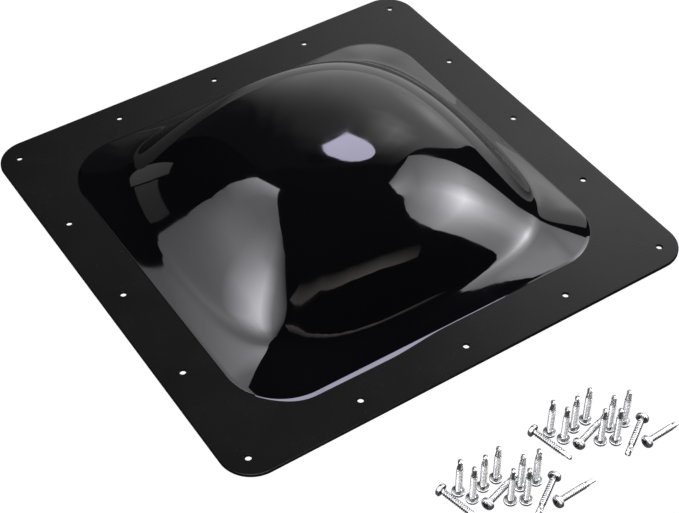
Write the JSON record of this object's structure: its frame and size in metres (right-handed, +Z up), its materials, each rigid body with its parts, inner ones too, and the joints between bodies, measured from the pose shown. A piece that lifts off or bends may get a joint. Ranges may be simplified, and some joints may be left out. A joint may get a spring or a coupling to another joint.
{
  "type": "roof vent cover",
  "caption": "Square roof vent cover: a one-piece moulded sheet with a flat screw flange and a raised glossy dome, with loose self-drilling screws beside it.",
  "frame": {"origin": "centre of the flange's underside, on the roof surface", "axes": "+Z up out of the roof through the dome; +X and +Y along the flange's sides"},
  "size_m": [0.47, 0.6247, 0.0936],
  "materials": {
    "cover_plastic": "gloss dome, satin flange, black",
    "screw_zinc": "bright zinc plated"
  },
  "bodies": {
    "cover": {"dome_shell": "cover_plastic"},
    "screw_01": {"screw_01": "screw_zinc"},
    "screw_02": {"screw_02": "screw_zinc"},
    "screw_03": {"screw_03": "screw_zinc"},
    "screw_04": {"screw_04": "screw_zinc"},
    "screw_05": {"screw_05": "screw_zinc"},
    "screw_06": {"screw_06": "screw_zinc"},
    "screw_07": {"screw_07": "screw_zinc"},
    "screw_08": {"screw_08": "screw_zinc"},
    "screw_09": {"screw_09": "screw_zinc"},
    "screw_10": {"screw_10": "screw_zinc"},
    "screw_11": {"screw_11": "screw_zinc"},
    "screw_12": {"screw_12": "screw_zinc"},
    "screw_13": {"screw_13": "screw_zinc"},
    "screw_14": {"screw_14": "screw_zinc"},
    "screw_15": {"screw_15": "screw_zinc"},
    "screw_16": {"screw_16": "screw_zinc"},
    "screw_17": {"screw_17": "screw_zinc"},
    "screw_18": {"screw_18": "screw_zinc"},
    "screw_19": {"screw_19": "screw_zinc"},
    "screw_20": {"screw_20": "screw_zinc"},
    "screw_21": {"screw_21": "screw_zinc"},
    "screw_22": {"screw_22": "screw_zinc"},
    "screw_23": {"screw_23": "screw_zinc"},
    "screw_24": {"screw_24": "screw_zinc"}
  },
  "joints": [
    {"name": "lift_01", "type": "slide", "parent": "cover", "child": "screw_01", "axis": [0, 0, 1], "range_m": [0, 0.1]},
    {"name": "lift_02", "type": "slide", "parent": "cover", "child": "screw_02", "axis": [0, 0, 1], "range_m": [0, 0.1]},
    {"name": "lift_03", "type": "slide", "parent": "cover", "child": "screw_03", "axis": [0, 0, 1], "range_m": [0, 0.1]},
    {"name": "lift_04", "type": "slide", "parent": "cover", "child": "screw_04", "axis": [0, 0, 1], "range_m": [0, 0.1]},
    {"name": "lift_05", "type": "slide", "parent": "cover", "child": "screw_05", "axis": [0, 0, 1], "range_m": [0, 0.1]},
    {"name": "lift_06", "type": "slide", "parent": "cover", "child": "screw_06", "axis": [0, 0, 1], "range_m": [0, 0.1]},
    {"name": "lift_07", "type": "slide", "parent": "cover", "child": "screw_07", "axis": [0, 0, 1], "range_m": [0, 0.1]},
    {"name": "lift_08", "type": "slide", "parent": "cover", "child": "screw_08", "axis": [0, 0, 1], "range_m": [0, 0.1]},
    {"name": "lift_09", "type": "slide", "parent": "cover", "child": "screw_09", "axis": [0, 0, 1], "range_m": [0, 0.1]},
    {"name": "lift_10", "type": "slide", "parent": "cover", "child": "screw_10", "axis": [0, 0, 1], "range_m": [0, 0.1]},
    {"name": "lift_11", "type": "slide", "parent": "cover", "child": "screw_11", "axis": [0, 0, 1], "range_m": [0, 0.1]},
    {"name": "lift_12", "type": "slide", "parent": "cover", "child": "screw_12", "axis": [0, 0, 1], "range_m": [0, 0.1]},
    {"name": "lift_13", "type": "slide", "parent": "cover", "child": "screw_13", "axis": [0, 0, 1], "range_m": [0, 0.1]},
    {"name": "lift_14", "type": "slide", "parent": "cover", "child": "screw_14", "axis": [0, 0, 1], "range_m": [0, 0.1]},
    {"name": "lift_15", "type": "slide", "parent": "cover", "child": "screw_15", "axis": [0, 0, 1], "range_m": [0, 0.1]},
    {"name": "lift_16", "type": "slide", "parent": "cover", "child": "screw_16", "axis": [0, 0, 1], "range_m": [0, 0.1]},
    {"name": "lift_17", "type": "slide", "parent": "cover", "child": "screw_17", "axis": [0, 0, 1], "range_m": [0, 0.1]},
    {"name": "lift_18", "type": "slide", "parent": "cover", "child": "screw_18", "axis": [0, 0, 1], "range_m": [0, 0.1]},
    {"name": "lift_19", "type": "slide", "parent": "cover", "child": "screw_19", "axis": [0, 0, 1], "range_m": [0, 0.1]},
    {"name": "lift_20", "type": "slide", "parent": "cover", "child": "screw_20", "axis": [0, 0, 1], "range_m": [0, 0.1]},
    {"name": "lift_21", "type": "slide", "parent": "cover", "child": "screw_21", "axis": [0, 0, 1], "range_m": [0, 0.1]},
    {"name": "lift_22", "type": "slide", "parent": "cover", "child": "screw_22", "axis": [0, 0, 1], "range_m": [0, 0.1]},
    {"name": "lift_23", "type": "slide", "parent": "cover", "child": "screw_23", "axis": [0, 0, 1], "range_m": [0, 0.1]},
    {"name": "lift_24", "type": "slide", "parent": "cover", "child": "screw_24", "axis": [0, 0, 1], "range_m": [0, 0.1]}
  ]
}
